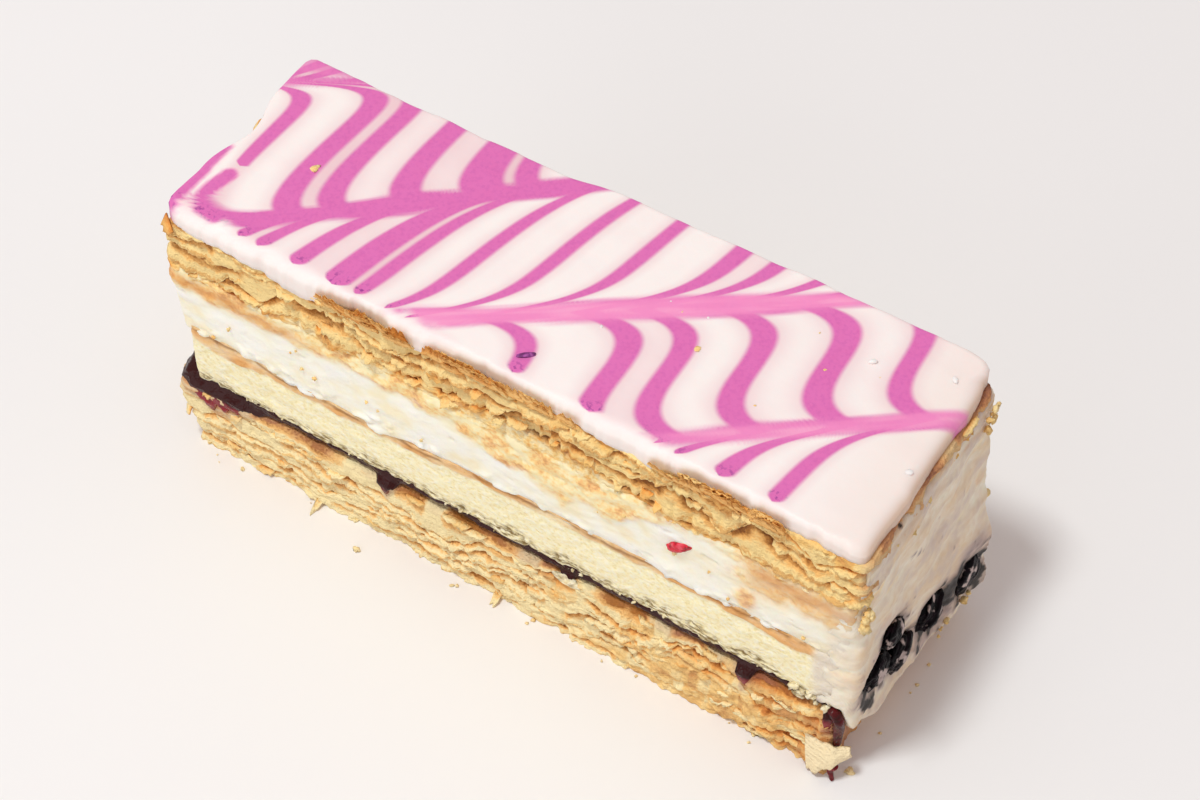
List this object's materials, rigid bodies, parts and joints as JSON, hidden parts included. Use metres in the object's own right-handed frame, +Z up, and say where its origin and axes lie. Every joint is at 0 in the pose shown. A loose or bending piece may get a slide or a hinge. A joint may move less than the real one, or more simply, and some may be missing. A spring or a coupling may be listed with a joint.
{
  "type": "mille feuille slice",
  "caption": "Rectangular slice of layered pastry: flaky sheets round jam, sponge and cream, with feathered pink and white icing on top.",
  "frame": {"origin": "middle of the underside of the slice's box, on the surface it rests on", "axes": "+X along the slice towards the end smeared with cream and berries, +Y across it towards the back, +Z up from the base pastry to the icing"},
  "size_m": [0.138, 0.046, 0.0605],
  "materials": {
    "base_pastry": "pale golden puff pastry, many thin leaves with browned recesses",
    "jam": "wet dark purple jam, glossy",
    "sponge": "pale yellow sponge with a fine open crumb and a lightly browned skin on top",
    "cream": "soft whipped cream, smeared where the knife passed, satin",
    "lid_pastry": "toasted puff pastry, flaky above and smooth golden below",
    "icing": "white poured icing feathered with pink-purple lines, soft gloss",
    "berry": "cut blueberry, nearly black and wet",
    "red_fruit": "red fruit piece, wet"
  },
  "bodies": {
    "root": {"base_pastry": "base_pastry", "jam_layer": "jam", "sponge_layer": "sponge", "cream_filling": "cream", "lid_pastry": "lid_pastry", "feathered_icing": "icing", "blueberry_1": "berry", "blueberry_2": "berry", "blueberry_3": "berry", "blueberry_4": "berry", "blueberry_5": "berry", "red_fruit_piece": "red_fruit"}
  },
  "joints": []
}
